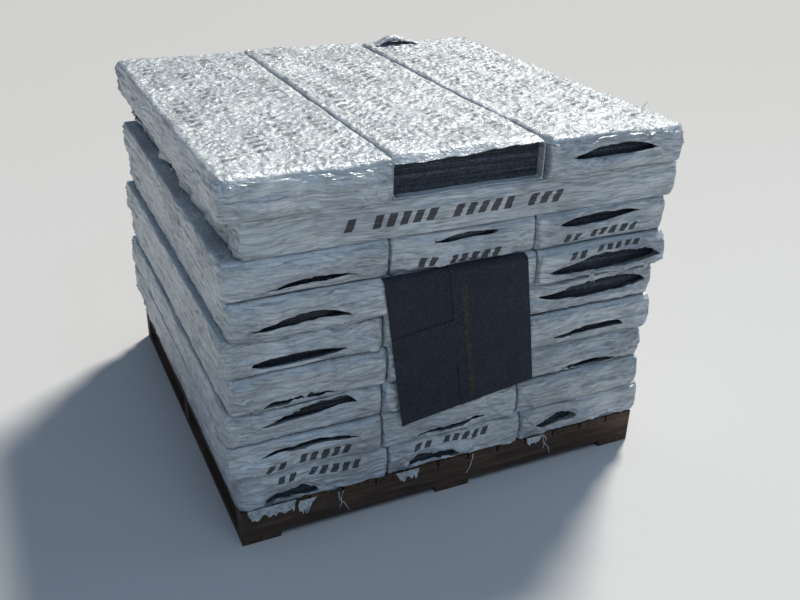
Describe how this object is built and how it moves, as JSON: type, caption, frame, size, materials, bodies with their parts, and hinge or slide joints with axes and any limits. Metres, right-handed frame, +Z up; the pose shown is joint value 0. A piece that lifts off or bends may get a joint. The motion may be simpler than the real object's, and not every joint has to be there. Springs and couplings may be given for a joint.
{
  "type": "pallet of asphalt shingle bundles",
  "caption": "Stack of film-wrapped bundles of asphalt shingles on a low wooden pallet, with a sample shingle hung over the front.",
  "frame": {"origin": "on the ground under the middle of the pallet", "axes": "+Z up, the front with the hung sample shingle looks along -Y, +X to the right seen from the front"},
  "size_m": [1.0782, 1.0662, 0.845],
  "materials": {
    "wrap_film": "wrinkled silver-grey film, half gloss",
    "shingle_sheet": "black mineral granules on asphalt",
    "shingle_face": "black mineral granules on asphalt",
    "sealant": "dull strip of sealant",
    "pallet_wood": "rough, weathered dark"
  },
  "bodies": {
    "root": {"film_layer_1": "wrap_film", "film_layer_2": "wrap_film", "film_layer_3": "wrap_film", "film_layer_4": "wrap_film", "film_layer_5": "wrap_film", "film_layer_6": "wrap_film", "film_layer_7": "wrap_film", "film_layer_8": "wrap_film", "film_top_left": "wrap_film", "film_top_middle": "wrap_film", "film_top_right": "wrap_film", "pallet_bottom_boards": "pallet_wood", "pallet_deck_boards": "pallet_wood", "pallet_stringers": "pallet_wood", "sample_sealant": "sealant", "sample_shingle": "shingle_face", "shingles_layer_1": "shingle_sheet", "shingles_layer_2": "shingle_sheet", "shingles_layer_3": "shingle_sheet", "shingles_layer_4": "shingle_sheet", "shingles_layer_5": "shingle_sheet", "shingles_layer_6": "shingle_sheet", "shingles_layer_7": "shingle_sheet", "shingles_layer_8": "shingle_sheet", "shingles_top_left": "shingle_sheet", "shingles_top_middle": "shingle_sheet", "shingles_top_right": "shingle_sheet"}
  },
  "joints": []
}
